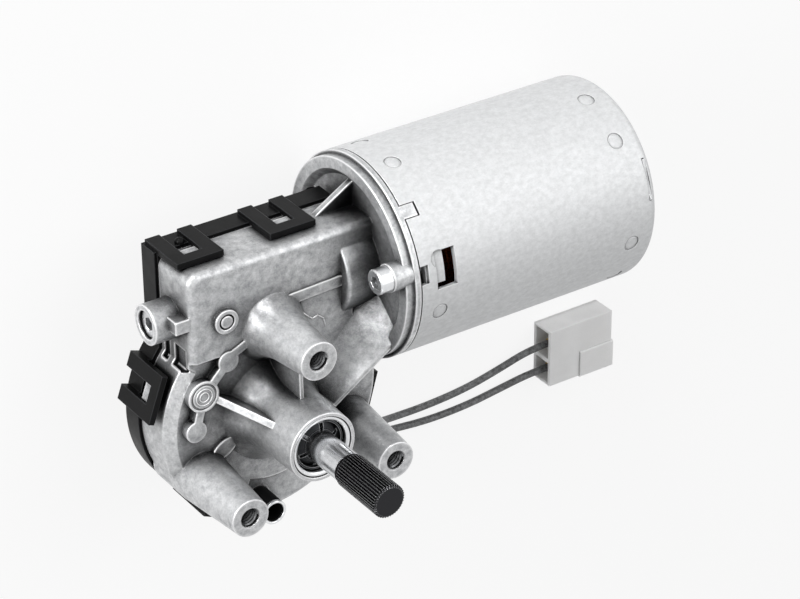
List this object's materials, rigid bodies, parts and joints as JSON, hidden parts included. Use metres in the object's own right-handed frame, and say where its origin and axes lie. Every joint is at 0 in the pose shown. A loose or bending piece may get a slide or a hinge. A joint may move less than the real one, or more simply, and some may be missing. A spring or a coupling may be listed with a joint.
{
  "type": "wiper motor",
  "caption": "Geared wiper motor: long steel can motor on a die-cast worm gearbox with tapped bosses, a serrated output shaft, a clipped black cover, leads and a plug.",
  "frame": {"origin": "on the output shaft's axis, in the plane of the mounting bosses' faces", "axes": "+Z out along the output shaft, +X along the motor from the gearbox to the can's closed end"},
  "size_m": [0.2177, 0.1415, 0.115],
  "materials": {
    "die_cast_aluminium": "as-cast, satin",
    "zinc_plated_steel": "zinc plated, satin",
    "black_moulded_plastic": "moulded, satin",
    "black_rubber": "moulded",
    "ground_steel": "ground",
    "blackened_steel": "black oxide, oiled",
    "sintered_bronze": "sintered, oily",
    "acetal_plastic": "moulded",
    "ferrite": "sintered",
    "electrical_steel": "stacked laminations",
    "enamelled_copper": "enamelled",
    "brass_strip": "pressed",
    "carbon": "pressed carbon",
    "grey_pvc": "extruded, matt",
    "natural_nylon": "moulded, translucent"
  },
  "bodies": {
    "gearbox": {"armature_bush": "sintered_bronze", "brush_1": "carbon", "brush_2": "carbon", "brush_box_1": "brass_strip", "brush_box_2": "brass_strip", "brush_plate": "black_moulded_plastic", "brush_spring_1": "brass_strip", "brush_spring_2": "brass_strip", "bush_clip": "zinc_plated_steel", "can_gasket": "black_rubber", "choke_1": "enamelled_copper", "choke_2": "enamelled_copper", "cover_seal": "black_rubber", "end_cap": "zinc_plated_steel", "end_cap_bush": "sintered_bronze", "flange_screws": "zinc_plated_steel", "front_shaft_bush": "sintered_bronze", "gear_cover": "black_moulded_plastic", "gear_housing": "die_cast_aluminium", "hub_seal_ring": "zinc_plated_steel", "lead_1": "grey_pvc", "lead_2": "grey_pvc", "lead_grommet": "black_rubber", "magnet_1": "ferrite", "magnet_2": "ferrite", "magnet_3": "ferrite", "magnet_4": "ferrite", "magnet_clips": "zinc_plated_steel", "motor_can": "zinc_plated_steel", "plug_housing": "natural_nylon", "rear_shaft_bush": "sintered_bronze", "terminal_1": "brass_strip", "terminal_2": "brass_strip", "thrust_pad": "acetal_plastic", "thrust_screw": "zinc_plated_steel", "vent_ferrule": "zinc_plated_steel", "vent_tube": "black_rubber", "worm_bush": "sintered_bronze"},
    "output": {"output_shaft": "blackened_steel", "wheel_hub": "ground_steel", "worm_wheel": "acetal_plastic", "thrust_washer": "ground_steel", "claw_washer": "blackened_steel"},
    "armature": {"armature_shaft": "ground_steel", "armature_core": "electrical_steel", "armature_winding": "enamelled_copper", "commutator": "enamelled_copper"}
  },
  "joints": [
    {"name": "output_turn", "type": "hinge", "parent": "gearbox", "child": "output", "pos_m": [0, 0, 0], "axis": [0, 0, 1], "continuous": true},
    {"name": "armature_spin", "type": "hinge", "parent": "gearbox", "child": "armature", "pos_m": [0, 0.04125, -0.0395], "axis": [1, 0, 0], "continuous": true}
  ],
  "couplings": [
    {"joint": "output_turn", "follows": "armature_spin", "ratio": 0.017857}
  ]
}
